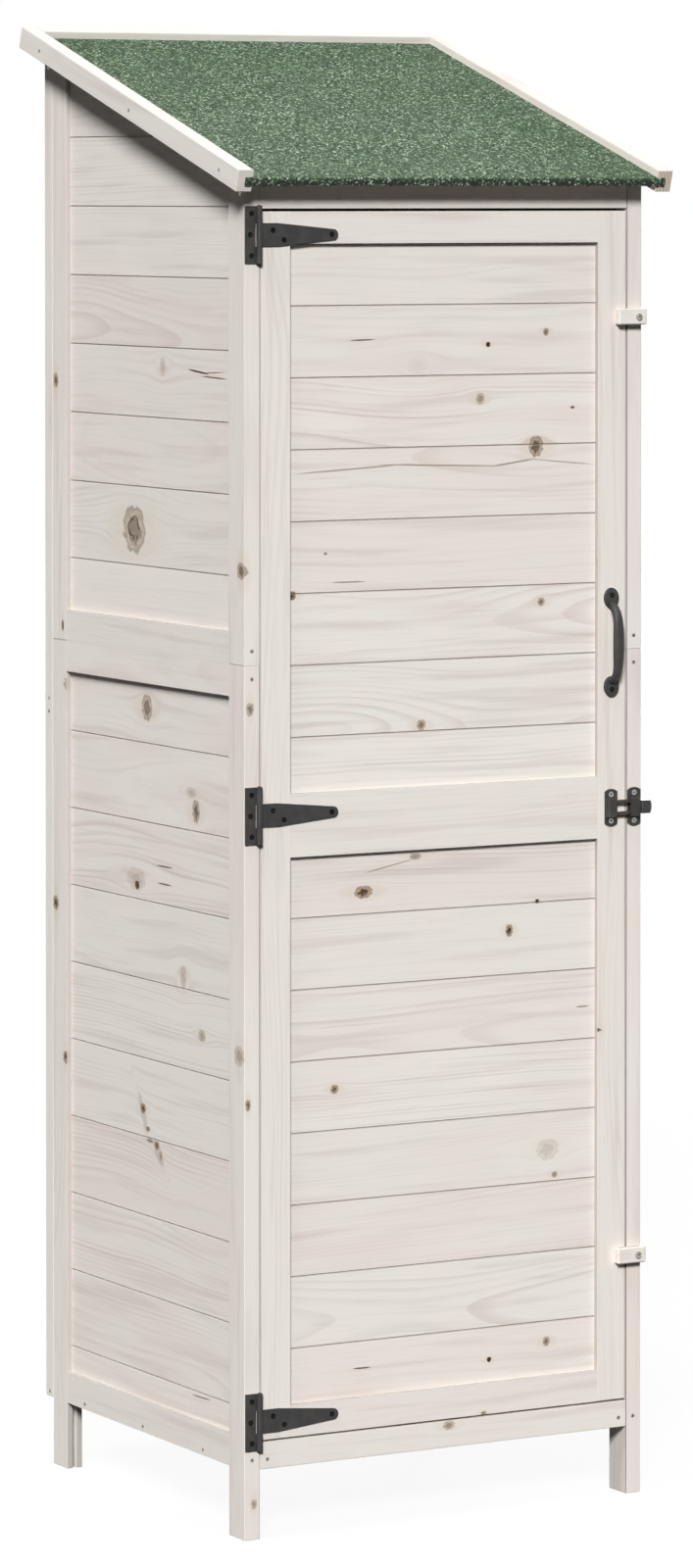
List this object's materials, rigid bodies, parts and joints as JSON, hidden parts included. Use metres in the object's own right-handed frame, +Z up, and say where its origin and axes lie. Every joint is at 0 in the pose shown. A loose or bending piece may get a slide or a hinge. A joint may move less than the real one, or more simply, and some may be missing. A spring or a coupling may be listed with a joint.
{
  "type": "garden shed",
  "caption": "Narrow whitewashed timber garden shed on legs, with a felted lean-to roof, one framed door on strap hinges, a bow handle, a slide latch and wooden turn buttons.",
  "frame": {"origin": "on the ground, below the middle of the roof's plan", "axes": "+Z up, +Y from the door to the back wall, +X to the right of someone who faces the door"},
  "size_m": [0.5808, 0.5584, 1.7395],
  "materials": {
    "timber": "thin white wash on sawn pine",
    "roof_felt": "green mineral granules",
    "fittings": "black coat",
    "screws": "dull zinc"
  },
  "bodies": {
    "carcass": {"back_bottom_rail": "timber", "back_left_stile": "timber", "back_lower_boards": "timber", "back_mid_rail": "timber", "back_right_stile": "timber", "back_top_rail": "timber", "back_upper_boards": "timber", "bottom_hinge_leaf": "fittings", "button_screws": "screws", "floor_boards": "timber", "floor_cleats": "timber", "header": "timber", "hinge_pins": "fittings", "latch_housing": "fittings", "left_barge_board": "timber", "left_bottom_rail": "timber", "left_front_post_lower": "timber", "left_front_post_upper": "timber", "left_lower_boards": "timber", "left_lower_top_rail": "timber", "left_rear_post_lower": "timber", "left_rear_post_upper": "timber", "left_upper_boards": "timber", "left_upper_bottom_rail": "timber", "middle_hinge_leaf": "fittings", "post_dowels": "timber", "post_fitting_screws": "screws", "rear_fascia": "timber", "right_barge_board": "timber", "right_bottom_rail": "timber", "right_front_post_lower": "timber", "right_front_post_upper": "timber", "right_lower_boards": "timber", "right_lower_top_rail": "timber", "right_rear_post_lower": "timber", "right_rear_post_upper": "timber", "right_upper_boards": "timber", "right_upper_bottom_rail": "timber", "roof_bearers": "timber", "roof_boards": "timber", "roof_felt": "roof_felt", "sill": "timber", "top_hinge_leaf": "fittings", "wood_screws": "screws"},
    "door": {"bottom_hinge_strap": "fittings", "door_bottom_rail": "timber", "door_fitting_screws": "screws", "door_hinge_stile": "timber", "door_latch_stile": "timber", "door_lower_boards": "timber", "door_mid_rail": "timber", "door_top_rail": "timber", "door_upper_boards": "timber", "latch_keeper": "fittings", "middle_hinge_strap": "fittings", "pull_handle": "fittings", "top_hinge_strap": "fittings"},
    "bolt": {"latch_bolt": "fittings"},
    "upper_button": {"upper_turn_button": "timber"},
    "lower_button": {"lower_turn_button": "timber"}
  },
  "joints": [
    {"name": "door_swing", "type": "hinge", "parent": "carcass", "child": "door", "pos_m": [-0.2488, -0.25106, 0.8149], "axis": [0, 0, -1], "range_deg": [0, 180]},
    {"name": "bolt_slide", "type": "slide", "parent": "carcass", "child": "bolt", "axis": [1, 0, 0], "range_m": [0, 0.02515]},
    {"name": "upper_button_turn", "type": "hinge", "parent": "carcass", "child": "upper_button", "pos_m": [0.2565, -0.24726, 1.3935], "axis": [0, 1, 0], "continuous": true},
    {"name": "lower_button_turn", "type": "hinge", "parent": "carcass", "child": "lower_button", "pos_m": [0.2565, -0.24726, 0.2845], "axis": [0, 1, 0], "continuous": true}
  ]
}
